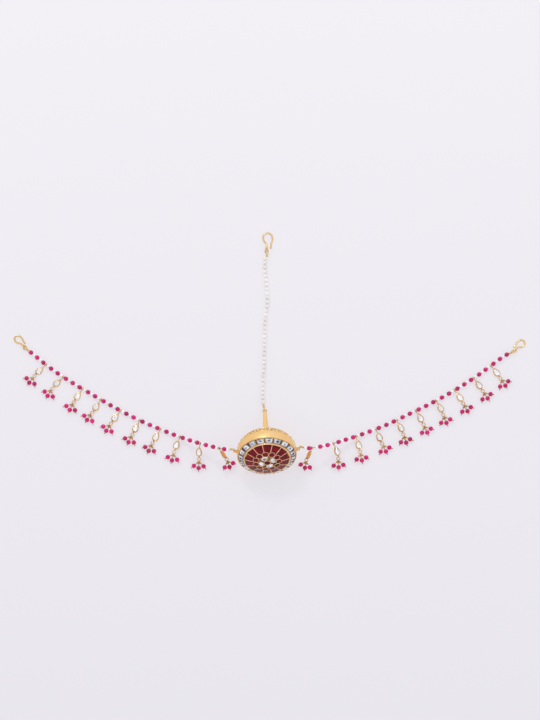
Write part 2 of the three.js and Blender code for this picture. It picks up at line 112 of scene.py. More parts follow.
class Socket:
    """A shader value that can be used in sums, like a number."""

    def __init__(self, tree, output):
        self.tree = tree
        self.output = output

    def node(self, kind, inputs, output=0, **settings):
        """A new node fed with these inputs: sockets are linked and numbers are set."""
        made = self.tree.nodes.new(kind)
        for name, value in settings.items():
            setattr(made, name, value)
        for key, value in inputs.items():
            if isinstance(value, Socket):
                self.tree.links.new(value.output, made.inputs[key])
            else:
                made.inputs[key].default_value = value
        return Socket(self.tree, made.outputs[output])

    def math(self, operation, first, second=0.0):
        """Result of one operation on two values."""
        return self.node("ShaderNodeMath", {0: first, 1: second}, operation=operation)

    def __add__(self, other):
        return self.math("ADD", self, other)

    def __radd__(self, other):
        return self.math("ADD", other, self)

    def __sub__(self, other):
        return self.math("SUBTRACT", self, other)

    def __rsub__(self, other):
        return self.math("SUBTRACT", other, self)

    def __mul__(self, other):
        return self.math("MULTIPLY", self, other)

    def __rmul__(self, other):
        return self.math("MULTIPLY", other, self)

    def __truediv__(self, other):
        return self.math("DIVIDE", self, other)

    def __rtruediv__(self, other):
        return self.math("DIVIDE", other, self)

    def noise(self, scale, detail=2.0):
        """Noise from 0 to 1 at this point, with features about 1 / scale metres wide."""
        return self.node("ShaderNodeTexNoise", {"Vector": self, "Scale": scale, "Detail": detail})

    def ramp(self, low, high, start=0.0, end=1.0):
        """start below low, end above high, and even in between."""
        return self.node("ShaderNodeMapRange", {0: self, 1: low, 2: high, 3: start, 4: end})

    def colour(self, low, high):
        """Colour low where this is 0 and high where it is 1."""
        return self.node("ShaderNodeMix", {0: self, 6: low, 7: high}, output=2, data_type="RGBA")

    def bump(self, strength, distance):
        """Normal of a surface raised where this value is high."""
        return self.node("ShaderNodeBump", {"Height": self, "Strength": strength, "Distance": distance})


def material(name, paint, fixed):
    """Principled material: fixed values by socket name, and paint(point) for those that vary."""
    made = bpy.data.materials.new(name)
    made.use_nodes = True
    shader = made.node_tree.nodes["Principled BSDF"]
    for key, value in fixed.items():
        shader.inputs[key].default_value = value
    coordinates = made.node_tree.nodes.new("ShaderNodeTexCoord")
    for key, value in paint(Socket(made.node_tree, coordinates.outputs["Object"])).items():
        made.node_tree.links.new(value.output, shader.inputs[key])
    return made


def rgb(red, green, blue):
    """Linear colour from the 0 to 255 values that a picture shows."""
    return tuple((c / 255) ** 2.2 for c in (red, green, blue)) + (1.0,)


def gold(name, dark, light, roughness):
    """Gold that varies a little in tone and polish."""

    def paint(point):
        tone = point.noise(160, 3)
        scratches = point.noise(2600, 2)
        return {
            "Base Color": tone.ramp(0.3, 0.7).colour(dark, light),
            "Roughness": tone * 0.1 + (roughness - 0.05),
            "Normal": scratches.bump(0.12, 0.0001),
        }

    return material(name, paint, {"Metallic": 1.0})


def shell_paint(point):
    """Satin gold with a stamped band round the back: small hollows between raised leaves, painted dark as
    shade.
    """
    axes = [TURNED.to_3x3() @ Vector(axis) for axis in ((1, 0, 0), (0, 1, 0), (0, 0, 1))]
    middle = TO_ROW @ PENDANT.translation
    from_middle = point.node("ShaderNodeVectorMath", {0: point, 1: middle}, operation="SUBTRACT")
    across, along, height = [
        from_middle.node(
            "ShaderNodeVectorMath", {0: from_middle, 1: axis}, output=1, operation="DOT_PRODUCT"
        )
        * (1 / MM)
        for axis in axes
    ]
    turn = across.math("ARCTAN2", across, along) * (BAND_MOTIFS / (2 * math.pi))
    share = turn.math("FRACT", turn + 0.5)
    pitch = 2 * math.pi * BAND_RADIUS / BAND_MOTIFS
    hollows = None
    for place, level, size in BAND_HOLLOWS:
        sideways = (share - place) * pitch
        back = (height - level) * HOLLOW_SQUEEZE
        away = sideways.math("SQRT", sideways * sideways + back * back)
        hollow = away.ramp(size * 0.6, size, 1.0, 0.0)
        hollows = hollow if hollows is None else hollow.math("MAXIMUM", hollow, hollows)
    tone = point.noise(90, 3)
    plain = tone.ramp(0.3, 0.7).colour(rgb(250, 202, 130), rgb(255, 218, 154))
    grain = point.noise(3000, 2)
    # The hollows are painted dark brown as the shade that lies in them; their bump and roughness are real.
    return {
        "Base Color": hollows.colour(plain, rgb(112, 84, 44)),
        "Roughness": tone * 0.12 + hollows * 0.2 + 0.3,
        "Normal": (grain * 0.2 - hollows).bump(0.5, 0.0003),
    }


def finished(name, bm, materials, nodes, place=None):
    """Add a piece of the jewel from a mesh in millimetres; it stands for these CAD nodes."""
    bm.transform(TO_ROW @ (place or Matrix()))
    bmesh.ops.recalc_face_normals(bm, faces=bm.faces)
    mesh = bpy.data.meshes.new(name)
    bm.to_mesh(mesh)
    bm.free()
    for each in materials:
        mesh.materials.append(each)
    made = bpy.data.objects.new(name, mesh)
    bpy.context.scene.collection.objects.link(made)
    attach(made, "root")
    if nodes:
        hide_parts(*nodes)


def skin(bm, rings, slot=0, smooth=True, closed=False):
    """Surface over rings of points, with flat ends; a ring of one point is a pole."""
    corners = [[bm.verts.new(point) for point in ring] for ring in rings]
    pairs = list(zip(corners, corners[1:]))
    if closed:
        pairs.append((corners[-1], corners[0]))
    faces = []
    for low, high in pairs:
        count = max(len(low), len(high))
        for k in range(count):
            n = (k + 1) % count
            loop = [low[k % len(low)], low[n % len(low)], high[n % len(high)], high[k % len(high)]]
            faces.append(bm.faces.new(list(dict.fromkeys(loop))))
    for face in faces:
        face.smooth = smooth
    if not closed:
        faces += [bm.faces.new(ends) for ends in (corners[0], corners[-1]) if len(ends) > 2]
    for face in faces:
        face.material_index = slot
    return faces


def circle(centre, axis, radius, count, start=0.0):
    """Points round a circle about an axis."""
    axis = Vector(axis).normalized()
    side = axis.orthogonal().normalized()
    over = axis.cross(side)
    angles = [start + 2 * math.pi * k / count for k in range(count)]
    return [Vector(centre) + radius * (math.cos(a) * side + math.sin(a) * over) for a in angles]


def turned(bm, profile, centre, axis, sides, slot=0):
    """Turned body about an axis through centre: profile of (along, radius) from end to end."""
    axis = Vector(axis).normalized()
    rings = []
    for along, radius in profile:
        middle = Vector(centre) + axis * along
        rings.append(circle(middle, axis, radius, sides) if radius > 0 else [middle])
    return skin(bm, rings, slot)


def tube(bm, points, radius, sides, slot=0, closed=False):
    """Round wire through points, with rounded ends where it is open."""
    count = len(points)
    ways = []
    for i in range(count):
        after = points[(i + 1) % count] if closed else points[min(i + 1, count - 1)]
        before = points[i - 1] if closed else points[max(i - 1, 0)]
        ways.append((after - before).normalized())
    side = ways[0].orthogonal().normalized()
    rings = []
    for point, way in zip(points, ways):
        side = (side - way * side.dot(way)).normalized()
        over = way.cross(side)
        angles = [2 * math.pi * k / sides for k in range(sides)]
        rings.append([point + radius * (math.cos(a) * side + math.sin(a) * over) for a in angles])
    if closed:
        return skin(bm, rings, slot, closed=True)
    first = [points[0] - ways[0] * radius * 0.7 + (p - points[0]) * 0.55 for p in rings[0]]
    last = [points[-1] + ways[-1] * radius * 0.7 + (p - points[-1]) * 0.55 for p in rings[-1]]
    ends = ([points[0] - ways[0] * radius], [points[-1] + ways[-1] * radius])
    return skin(bm, [ends[0], first, *rings, last, ends[1]], slot)


def wire_ring(bm, centre, axis, radius, wire, slot=0, count=20, sides=10):
    """Round ring of wire."""
    return tube(bm, circle(centre, axis, radius, count), wire, sides, slot, closed=True)


def granule(bm, centre, radius, slot=0, sides=8):
    """Small ball."""
    angles = [math.pi * k / 5 for k in range(1, 5)]
    belt = [(-radius * math.cos(a), radius * math.sin(a)) for a in angles]
    return turned(bm, [(-radius, 0), *belt, (radius, 0)], centre, UP, sides, slot)


def dome_at(radius):
    """Height of the face of the pendant at a distance from its middle."""
    return RIM_RISE + DOME_RISE - DOME_CURVE + math.sqrt(DOME_CURVE**2 - radius**2)


def back_radius(height):
    """Radius of the back of the shell at a height."""
    return BODY_RADIUS * math.sqrt(1 - (height / BACK_DEPTH) ** 2)


satin_gold = material("satin_gold", shell_paint, {"Metallic": 1.0})
polished_gold = gold("polished_gold", rgb(222, 184, 122), rgb(246, 214, 158), 0.25)
setting_gold = gold("setting_gold", rgb(236, 190, 142), rgb(252, 218, 174), 0.42)
# Gold painted dark as the shade between the stones, for the bars of the channel and the floor under the
# middle.
shade_painted_gold = gold("shade_painted_gold", rgb(128, 90, 54), rgb(166, 122, 78), 0.4)

# Profile of the shell as (radius, height): up the stem, round the back, over the rim and across the
# floor under the stones
STEM_STEPS = 8
BACK_STEPS = 26
FLOOR_STEPS = 16
foot_angle = math.asin(STEM_FOOT / BODY_RADIUS)
profile = [(0, -STEM_LENGTH), (STEM_TIP * 0.8, -STEM_LENGTH), (STEM_TIP, -STEM_LENGTH + 0.3)]
for i in range(1, STEM_STEPS):
    share = (i / STEM_STEPS) ** 1.15
    height = -STEM_LENGTH + (STEM_LENGTH - BACK_DEPTH) * share
    profile.append((STEM_TIP + (STEM_FOOT - STEM_TIP) * share, height))
profile.append((STEM_FOOT, -BACK_DEPTH * math.cos(foot_angle) - 0.3))
profile.append((STEM_FOOT + 0.35, -BACK_DEPTH * math.cos(foot_angle) + 0.05))
for i in range(2, BACK_STEPS + 1):
    angle = foot_angle + (math.pi / 2 - foot_angle) * i / BACK_STEPS
    profile.append((BODY_RADIUS * math.sin(angle), -BACK_DEPTH * math.cos(angle)))
profile += [
    (BODY_RADIUS - 0.02, RIM_RISE - 1.7),
    (FACE_RADIUS + 0.12, RIM_RISE - 0.6),
    (FACE_RADIUS + 0.1, RIM_RISE - 0.15),
    (FACE_RADIUS, RIM_RISE + 0.1),
    (FACE_RADIUS - 0.13, RIM_RISE + 0.2),
    (LIP_INNER + 0.03, RIM_RISE + 0.15),
    (LIP_INNER, RIM_RISE),
    (LIP_INNER, dome_at(LIP_INNER) - 1.1),
]
for i in range(1, FLOOR_STEPS):
    radius = LIP_INNER * (1 - i / FLOOR_STEPS)
    profile.append((radius, dome_at(radius) + FLOOR_LIFT))
profile.append((0, dome_at(0) + FLOOR_LIFT))

bm = bmesh.new()
turned(bm, [(height, radius) for radius, height in profile], (0, 0, 0), UP, SHELL_SIDES)

# Fine wires and granules along the stamped band, but no granule that would lie below the table, and
# granules and a collar of wire at the foot of the stem
for height, wire in ((BAND_FRONT, 0.16), (BAND_BACK, 0.2)):
    wire_ring(bm, (0, 0, height), UP, back_radius(height), wire, 1, SHELL_SIDES, 8)
for k in range(BAND_MOTIFS * 2):
    angle = math.pi * k / BAND_MOTIFS
    for level, shift, size in BAND_GRAINS:
        height = level + shift * (-1) ** k
        radius = back_radius(height) - 0.1
        centre = Vector((radius * math.sin(angle), radius * math.cos(angle), height))
        if (PENDANT @ centre).z > size:
            granule(bm, centre, size, 1)
for k in range(FOOT_GRAINS):
    angle = 2 * math.pi * k / FOOT_GRAINS
    across, along = FOOT_GRAIN_AWAY * math.sin(angle), FOOT_GRAIN_AWAY * math.cos(angle)
    granule(bm, Vector((across, along, FOOT_GRAIN_HEIGHT)), FOOT_GRAIN_RADIUS, 1)
wire_ring(bm, (0, 0, COLLAR_HEIGHT), UP, STEM_FOOT, COLLAR_WIRE, 1, 32, 8)

ear_seat = back_radius(EAR_BACK) + EYE_RADIUS - EYE_WIRE / 2
EYES = {
    "left": Vector((-ear_seat, 0, -EAR_BACK)),
    "right": Vector((ear_seat, 0, -EAR_BACK)),
    "top": Vector((0, 0, -STEM_LENGTH - EYE_RADIUS + EYE_WIRE / 2)),
}
for centre in EYES.values():
    wire_ring(bm, centre, (0, 1, 0), EYE_RADIUS, EYE_WIRE, 1, 28, 12)
finished(
    "pendant_shell", bm, (satin_gold, polished_gold), ["pendant_body"], PENDANT)

# Cell walls of the face
# Thin gold walls that part the stones, built up on the domed face: a wall between each two petals, three
# round walls, a bar between each two clear stones, and a bezel round each stone of the middle. The bars
# and the gold floor under the middle are painted dark as the shade between the stones.

PETAL_COUNT = 14
OVAL_COUNT = 11
ROSETTE_COUNT = 4
CLEAR_COUNT = 19
PETAL_TURN = 1.5
OVAL_TURN = -8.0
ROSETTE_TURN = -23.5
CLEAR_TURN = 5.5
PETAL_WALL_START = 8.9
PETAL_WALL_LENGTH = 6.0
PETAL_WALL_HALF = 0.23
PETAL_WALL_LIFT = 0.34
CLEAR_BAR_START = 15.2
CLEAR_BAR_LENGTH = 3.6
CLEAR_BAR_HALF = 0.32
CLEAR_BAR_LIFT = -0.02
# Round walls: radius, half width and lift off the dome
ROUND_WALLS = [(14.8, 0.3, 0.42), (15.25, 0.2, 0.1), (LIP_INNER - 0.18, 0.14, 0.1)]
OVAL_MIDDLE = 7.5
OVAL_OUT = 1.8
OVAL_SIDE = 1.9
OVAL_BEZEL_HALF = 0.15
OVAL_BEZEL_LIFT = 0.36
ROSETTE_MIDDLE = 4.0
ROSETTE_OUT = 1.6
ROSETTE_SIDE = 2.35
ROSETTE_BEZEL_HALF = 0.1
ROSETTE_BEZEL_LIFT = 0.2
CENTRE_BEZEL_HALF = 0.16
CENTRE_BEZEL_LIFT = 0.5
FLOOR_EDGE = 6.2
DARK_FLOOR_LIFT = -0.15


def face_point(radius, degrees, lift):
    """Point on the face: degrees clockwise from its top, lifted off the dome."""
    angle = math.radians(degrees)
    return Vector((radius * math.sin(angle), radius * math.cos(angle), dome_at(radius) + lift))


def face_frame(radius, degrees):
    """Place of a stone on the face: x sideways, y outwards, z out of the dome."""
    slope = math.atan(radius / math.sqrt(DOME_CURVE**2 - radius**2))
    return (
        Matrix.Rotation(-math.radians(degrees), 4, "Z")
        @ Matrix.Translation((0, radius, dome_at(radius)))
        @ Matrix.Rotation(-slope, 4, "X")
    )


def ridge(bm, centres, half, lift, slot=0, closed=True):
    """Wall with a rounded top through (radius, degrees) points."""
    section = [(-1, -1.2), (-1, -0.12), (-0.55, 0), (0.55, 0), (1, -0.12), (1, -1.2)]
    points = [face_point(radius, degrees, 0) for radius, degrees in centres]
    rings = []
    for i, point in enumerate(points):
        after = points[(i + 1) % len(points)] if closed else points[min(i + 1, len(points) - 1)]
        before = points[i - 1] if closed else points[max(i - 1, 0)]
        side = UP.cross(after - before).normalized()
        rings.append([point + side * (half * x) + UP * (lift + z) for x, z in section])
    return skin(bm, rings, slot, closed=closed)


bm = bmesh.new()
for radius, half, lift in ROUND_WALLS:
    ridge(bm, [(radius, 3.0 * k) for k in range(120)], half, lift)
for i in range(PETAL_COUNT):
    degrees = PETAL_TURN + (i + 0.5) * 360 / PETAL_COUNT
    wall = [(PETAL_WALL_START + PETAL_WALL_LENGTH * k / 8, degrees) for k in range(9)]
    ridge(bm, wall, PETAL_WALL_HALF, PETAL_WALL_LIFT, closed=False)
# The bars between the clear stones take the second look, gold painted dark as shade.
for i in range(CLEAR_COUNT):
    degrees = CLEAR_TURN + (i + 0.5) * 360 / CLEAR_COUNT
    bar = [(CLEAR_BAR_START + CLEAR_BAR_LENGTH * k / 5, degrees) for k in range(6)]
    ridge(bm, bar, CLEAR_BAR_HALF, CLEAR_BAR_LIFT, 1, closed=False)


def oval_points(radius, degrees, half_out, half_side, count):
    """(radius, degrees) points round an oval on the face."""
    points = []
    for k in range(count):
        angle = 2 * math.pi * k / count
        out = radius + half_out * math.cos(angle)
        side = half_side * math.sin(angle)
        points.append((math.hypot(out, side), degrees + math.degrees(math.atan2(side, out))))
    return points


for i in range(OVAL_COUNT):
    degrees = OVAL_TURN + i * 360 / OVAL_COUNT
    bezel = oval_points(OVAL_MIDDLE, degrees, OVAL_OUT + 0.12, OVAL_SIDE + 0.14, 32)
    ridge(bm, bezel, OVAL_BEZEL_HALF, OVAL_BEZEL_LIFT)
for i in range(ROSETTE_COUNT):
    degrees = ROSETTE_TURN + i * 360 / ROSETTE_COUNT
    bezel = oval_points(ROSETTE_MIDDLE, degrees, ROSETTE_OUT + 0.1, ROSETTE_SIDE + 0.07, 32)
    ridge(bm, bezel, ROSETTE_BEZEL_HALF, ROSETTE_BEZEL_LIFT)
bezel = [(CENTRE_RUBY_RADIUS + 0.12, 10.0 * k) for k in range(36)]
ridge(bm, bezel, CENTRE_BEZEL_HALF, CENTRE_BEZEL_LIFT)
# The floor under the middle is gold painted dark as the shade between the stones.
floor = [
    (dome_at(FLOOR_EDGE) - 0.6, FLOOR_EDGE),
    (dome_at(FLOOR_EDGE) + DARK_FLOOR_LIFT, FLOOR_EDGE),
    (dome_at(0) + DARK_FLOOR_LIFT, 0),
]
turned(bm, floor, (0, 0, 0), UP, 48, 1)
finished("cell_walls", bm, (setting_gold, shade_painted_gold), [], PENDANT)

# Clear stones in the channel
# Nineteen step cut stones of clear glass, backed with silver foil, in the channel round the face.
# The foil shows bright on the inner steps; the outer bevel is painted grey as shade and the middle dark as a
# painted reflection.

STONE_FOOT = -0.9
CLEAR_STONE_HALF = (2.18, 1.5)
CLEAR_STONE_CUT = 0.18


def foil_paint(low, high):
    """Foil behind clear glass: its tone changes from place to place."""

    def paint(point):
        patches = point.noise(330, 1)
        return {
            "Base Color": patches.ramp(0.38, 0.62).colour(low, high),
            "Roughness": point.noise(900, 1) * 0.12 + 0.06,
        }

    return paint


# Copies of one foil: bright as it shows lit, grey as painted shade, dark as a painted reflection.
bright_foil = material(
    "bright_foil", foil_paint(rgb(160, 166, 176), rgb(246, 246, 250)),
    {"Metallic": 0.55, "Coat Weight": 1.0, "Coat Roughness": 0.03})
shade_painted_foil = material(
    "shade_painted_foil", foil_paint(rgb(104, 110, 122), rgb(206, 210, 219)),
    {"Metallic": 0.6, "Coat Weight": 1.0, "Coat Roughness": 0.03})
reflection_painted_foil = material(
    "reflection_painted_foil", foil_paint(rgb(34, 36, 46), rgb(168, 172, 182)),
    {"Metallic": 0.6, "Coat Weight": 1.0, "Coat Roughness": 0.03})


def cut_stone(bm, outline, levels, place):
    """Stone with flat facets: levels of (share of the outline, lift, material slot below the level)."""
    rings = [[place @ Vector((x * share, y * share, lift)) for x, y in outline] for share, lift, _ in levels]
    corners = [[bm.verts.new(point) for point in ring] for ring in rings]
    count = len(outline)
    for low, high, (_, _, slot) in zip(corners, corners[1:], levels[1:]):
        for k in range(count):
            n = (k + 1) % count
            bm.faces.new((low[k], low[n], high[n], high[k])).material_index = slot
    bm.faces.new(corners[0])
    bm.faces.new(corners[-1]).material_index = levels[-1][2]


def rectangle(half_side, half_out, cut):
    """Rectangle with its corners cut off."""
    corners = []
    for sx, sy, first in ((1, 1, 0), (-1, 1, 1), (-1, -1, 0), (1, -1, 1)):
        pair = [(sx * half_side, sy * (half_out - cut)), (sx * (half_side - cut), sy * half_out)]
        corners += pair if first == 0 else pair[::-1]
    return corners


bm = bmesh.new()
for i in range(CLEAR_COUNT):
    place = face_frame(CLEAR_INNER + CLEAR_WIDTH / 2 - 0.05, CLEAR_TURN + i * 360 / CLEAR_COUNT)
    outline = rectangle(*CLEAR_STONE_HALF, CLEAR_STONE_CUT)
    # The outer bevel (slot 1) is painted grey as shade and the table (slot 2) dark as a painted reflection.
    levels = [
        (1.0, STONE_FOOT, 0), (1.0, -0.08, 1), (0.84, 0.14, 1),
        (0.62, 0.26, 0), (0.4, 0.3, 0), (0.36, 0.24, 2),
    ]
    cut_stone(bm, outline, levels, place)
finished(
    "clear_stones", bm, (bright_foil, shade_painted_foil, reflection_painted_foil), ["clear_stone_ring"], PENDANT)

# Ruby petals
# Fourteen flat stones of ruby coloured glass with bevelled edges, over red foil, between the walls.


def ruby_paint(dark, light):
    """Red glass with clouds and fine flecks."""

    def paint(point):
        cloud = point.noise(420, 4)
        fleck = point.noise(2200, 2)
        return {
            "Base Color": (cloud * 0.8 + fleck * 0.2).ramp(0.35, 0.65).colour(dark, light),
            "Roughness": fleck * 0.1 + 0.06,
        }

    return paint


ruby_glass = material(
    "ruby_glass", ruby_paint(rgb(62, 0, 12), rgb(144, 0, 34)), {"Specular IOR Level": 0.2})

bm = bmesh.new()
half_turn = math.pi / PETAL_COUNT
petal_inner = 8.6
petal_middle = 11.9
petal_outer = PETAL_INNER + PETAL_LENGTH + 0.2
petal_gap = 0.2
for i in range(PETAL_COUNT):
    inner_side = petal_inner * math.tan(half_turn) - petal_gap
    outer_side = petal_outer * math.sin(half_turn) - petal_gap
    outer_out = petal_outer * math.cos(half_turn)
    outline = [
        (outer_side, outer_out - petal_middle), (-outer_side, outer_out - petal_middle),
        (-inner_side, petal_inner - petal_middle), (inner_side, petal_inner - petal_middle),
    ]
    place = face_frame(petal_middle, PETAL_TURN + i * 360 / PETAL_COUNT)
    levels = [(1.0, STONE_FOOT, 0), (1.0, -0.05, 0), (0.93, 0.12, 0), (0.84, 0.17, 0)]
    cut_stone(bm, outline, levels, place)
petal_nodes = [f"ruby_petal_{i + 1:02d}" for i in range(PETAL_COUNT)]
finished("ruby_petals", bm, (ruby_glass,), petal_nodes, PENDANT)

# Small oval rubies, centre ruby and rosette
# Eleven small ovals and the centre stone are ruby coloured glass; the four stones round the centre are
# clear glass over foil. All are closed in by a rubbed over gold wall.


def oval_outline(half_side, half_out, count):
    """Corners of an oval, starting half a step off its side."""
    angles = [2 * math.pi * (k + 0.5) / count for k in range(count)]
    return [(half_side * math.cos(a), half_out * math.sin(a)) for a in angles]


bm = bmesh.new()
for i in range(OVAL_COUNT):
    place = face_frame(OVAL_MIDDLE, OVAL_TURN + i * 360 / OVAL_COUNT)
    outline = oval_outline(OVAL_SIDE, OVAL_OUT, 12)
    levels = [(1.0, STONE_FOOT, 0), (1.0, 0.1, 0), (0.85, 0.28, 0), (0.6, 0.38, 0)]
    cut_stone(bm, outline, levels, place)
finished("oval_rubies", bm, (ruby_glass,), ["ruby_oval_ring"], PENDANT)

bm = bmesh.new()
outline = oval_outline(CENTRE_RUBY_RADIUS, CENTRE_RUBY_RADIUS * 0.9, 12)
levels = [(1.0, STONE_FOOT, 0), (1.0, 0.2, 0), (0.85, 0.42, 0), (0.55, 0.58, 0)]
cut_stone(bm, outline, levels, face_frame(0, 0))
finished("centre_stone", bm, (ruby_glass,), ["centre_ruby"], PENDANT)

bm = bmesh.new()
for i in range(ROSETTE_COUNT):
    place = face_frame(ROSETTE_MIDDLE, ROSETTE_TURN + i * 360 / ROSETTE_COUNT)
    outline = oval_outline(ROSETTE_SIDE, ROSETTE_OUT, 10)
    # The rosette stones have their outer bevel painted grey as shade; the first has its middle painted dark
    # as a reflection.
    middle_slot = 2 if i == 0 else 0
    levels = [
        (1.0, STONE_FOOT, 0), (1.0, 0.02, 1), (0.8, 0.2, 0), (0.5, 0.32, 0), (0.44, 0.3, middle_slot),
    ]
    cut_stone(bm, outline, levels, place)
finished(
    "rosette_stones", bm, (bright_foil, shade_painted_foil, reflection_painted_foil), ["clear_rosette"], PENDANT)

# Hooks
# Three hooks bent from gold wire, lying flat on the table. The eye soldered at the foot of each leans
# over to one side.

HOOK_WIRE = 0.55
# Line of the wire from its eye, seen from above
HOOK_PLAN = [
    (0.1, 1.1), (0.1, 2.8), (-0.3, 4.3), (-1.5, 5.8), (-2.2, 7.7), (-1.9, 9.5), (-0.8, 10.9),
    (0.8, 11.3), (2.3, 10.8), (3.4, 9.6), (3.9, 7.4), (3.6, 5.5), (2.9, 3.6), (2.9, 1.0),
]
HOOK_LEG_SHARE = 0.15
EYE_LEAN = 50
SIDE_HOOK_SIZE = 0.76
HOOKS = {
    "left": {"eye": (-158.0, 73.7), "turn": 42, "size": SIDE_HOOK_SIZE, "flip": 1},
    "right": {"eye": (161.3, 71.2), "turn": -46, "size": SIDE_HOOK_SIZE, "flip": -1},
    "top": {"eye": (-0.2, 138.2), "turn": 0, "size": 1, "flip": 1},
}
BEAD_RADIUS = 1.5


def smooth_line(points, steps):
    """Points on a smooth line through points, with as many steps between each two."""
    ends = [points[0] * 2 - points[1], *points, points[-1] * 2 - points[-2]]
    line = []
    for a, b, c, d in zip(ends, ends[1:], ends[2:], ends[3:]):
        before, here, after = [math.sqrt((q - p).length) for p, q in ((a, b), (b, c), (c, d))]
        leave = ((b - a) / before - (c - a) / (before + here) + (c - b) / here) * here
        arrive = ((c - b) / here - (d - b) / (here + after) + (d - c) / after) * here
        for k in range(steps):
            t = k / steps
            cubic = (b - c) * 2 + leave + arrive
            square = (c - b) * 3 - leave * 2 - arrive
            line.append(b + leave * t + square * t**2 + cubic * t**3)
    line.append(points[-1].copy())
    return line


def eye_across(turn):
    """Axis of a hook's eye, which leans over to one side of the hook."""
    leaning = Matrix.Rotation(math.radians(EYE_LEAN), 3, "Y") @ UP
    return Matrix.Rotation(math.radians(turn), 3, "Z") @ leaning


for name, hook in HOOKS.items():
    rest = HOOK_WIRE
    size = hook["size"]
    plan = [Vector((hook["flip"] * size * x, max(size * y, EYE_RADIUS), 0)) for x, y in HOOK_PLAN]
    line = smooth_line(plan, 6)
    for i, point in enumerate(line):
        point.z = rest + (BEAD_RADIUS - rest) * max(0, 1 - i / (len(line) - 1) / HOOK_LEG_SHARE)
    bm = bmesh.new()
    tube(bm, line, HOOK_WIRE, 14)
    wire_ring(bm, (0, 0, BEAD_RADIUS), eye_across(0), EYE_RADIUS, EYE_WIRE, 0, 28, 12)
    place = Matrix.Translation((*hook["eye"], 0)) @ Matrix.Rotation(math.radians(hook["turn"]), 4, "Z")
    finished(f"{name}_wire_hook", bm, (polished_gold,), [f"{name}_hook"], place)

# Strings
# Thread with ruby coloured glass beads and white seed beads between them, bare where it is slack near
# the pendant. The third string holds small pearls. Gold wire is wound round both ends of each thread,
# which are tied to small gold links.

THREAD_RADIUS = 0.28
WHITE_LENGTH = 2.3
WHITE_RADIUS = 1.05
DROP_SLOT = 1.1
END_GAP = 2.2
LINK_WIRE = 0.35
RING_RADIUS = 1.35
DESCENT = 45
DESCENT_POWER = 1.4
PEARL_RADIUS = 1.4
PEARL_PITCH = 2.9
PEARL_END = 1.5
SLACK = 1.7
BEAD_GAP = 0.06
BEAD_SQUARENESS = 0.72
WHITE_GAP = 0.12
WHITE_SQUARENESS = 0.75
PEARL_GAP = 0.04
PEARL_SQUARENESS = 0.9
WOUND_START = 0.15
WOUND_STOP = 0.1
WOUND_PITCH = 0.42
WOUND_RADIUS = 0.46
WOUND_WIRE = 0.22
# Run that repeats along a side string, and each string from its hook to the pendant: P ruby bead, W white
# bead, D drop, S slack thread
BEAD_RUN = "PWPWPDWPWPWD"
BEAD_PATTERNS = {
    "left": BEAD_RUN * 5 + "SPW",
    "right": BEAD_RUN * 4 + "PWPWPSDWPWPWSDPW",
}
# Points given along each string, from its hook to the pendant
ROUTES = {
    "left": [
        (-153.3, 69.7), (-140.5, 59.3), (-126.5, 49.7), (-112.0, 41.0), (-97.5, 32.5),
        (-81.0, 24.0), (-65.5, 17.3), (-49.5, 10.6), (-39.5, 6.9), (-28.0, 3.2),
    ],
    "right": [
        (155.2, 67.9), (137.4, 54.8), (123.4, 45.5), (107.8, 36.6), (92.6, 29.0),
        (77.5, 21.7), (61.3, 15.2), (49.8, 10.7), (38.7, 6.6), (28.0, 3.8),
    ],
    "top": [
        (0.3, 135.0), (-1.2, 131.0), (-0.5, 117.2), (0.4, 103.2), (-0.5, 96.6), (-1.2, 89.1),
        (-1.5, 75.1), (-1.9, 59.4), (-2.4, 48.6), (-2.6, 38.0),
    ],
}


class Route:
    """Line of a string, measured along its length."""

    def __init__(self, points):
        self.points = points
        self.marks = [0.0]
        for a, b in zip(points, points[1:]):
            self.marks.append(self.marks[-1] + (b - a).length)
        self.length = self.marks[-1]

    def at(self, distance):
        """Point at a distance along the line, and the way it runs there."""
        i = 0
        while i < len(self.marks) - 2 and self.marks[i + 1] < distance:
            i += 1
        a, b = self.points[i], self.points[i + 1]
        share = (distance - self.marks[i]) / (self.marks[i + 1] - self.marks[i])
        return a.lerp(b, share), (b - a).normalized()


def thread_end(centre, across, towards):
    """Start of a thread at the link through an eye, with the middle and the axis of the link."""
    ahead = towards - centre
    ahead = (ahead - across * ahead.dot(across)).normalized()
    rim = centre + ahead * EYE_RADIUS
    return rim + ahead * RING_RADIUS, (rim, ahead.cross(across), RING_RADIUS)


def route_of(side, lying):
    """Line of a string from its hook to the pendant, with its two links."""
    points = [Vector((x, y, 0)) for x, y in ROUTES[side]]
    hook_eye = Vector((*HOOKS[side]["eye"], BEAD_RADIUS))
    lifted = [Vector((p.x, p.y, lying)) for p in points]
    first, first_link = thread_end(hook_eye, eye_across(HOOKS[side]["turn"]), lifted[0])
    across = (TURNED @ Vector((0, 1, 0))).normalized()
    last, last_link = thread_end(PENDANT @ EYES[side], across, lifted[-1])
    line = smooth_line([first, *lifted, last], 24)
    rise = max(0, last.z - lying)
    for point in line:
        away = math.hypot(point.x - last.x, point.y - last.y)
        point.z = lying + rise * max(0, 1 - away / DESCENT) ** DESCENT_POWER
    return Route(line), (first_link, last_link)


def wound(bm, route, start, end, slot):
    """Gold wire wound round the thread from one distance to another."""
    turns = max(1, round((end - start) / WOUND_PITCH))
    for k in range(turns + 1):
        centre, way = route.at(start + (end - start) * k / turns)
        wire_ring(bm, centre, way, WOUND_RADIUS, WOUND_WIRE, slot, 14, 6)


def bead_profile(half, radius, steps, squareness):
    """Profile of a bead from end to end, rounder for a squareness of 1 and more like a barrel below."""
    profile = []
    for k in range(steps + 1):
        angle = math.pi * k / steps
        swell = math.sin(angle) ** squareness if 0 < k < steps else 0
        profile.append((-half * math.cos(angle), radius * swell))
    return profile


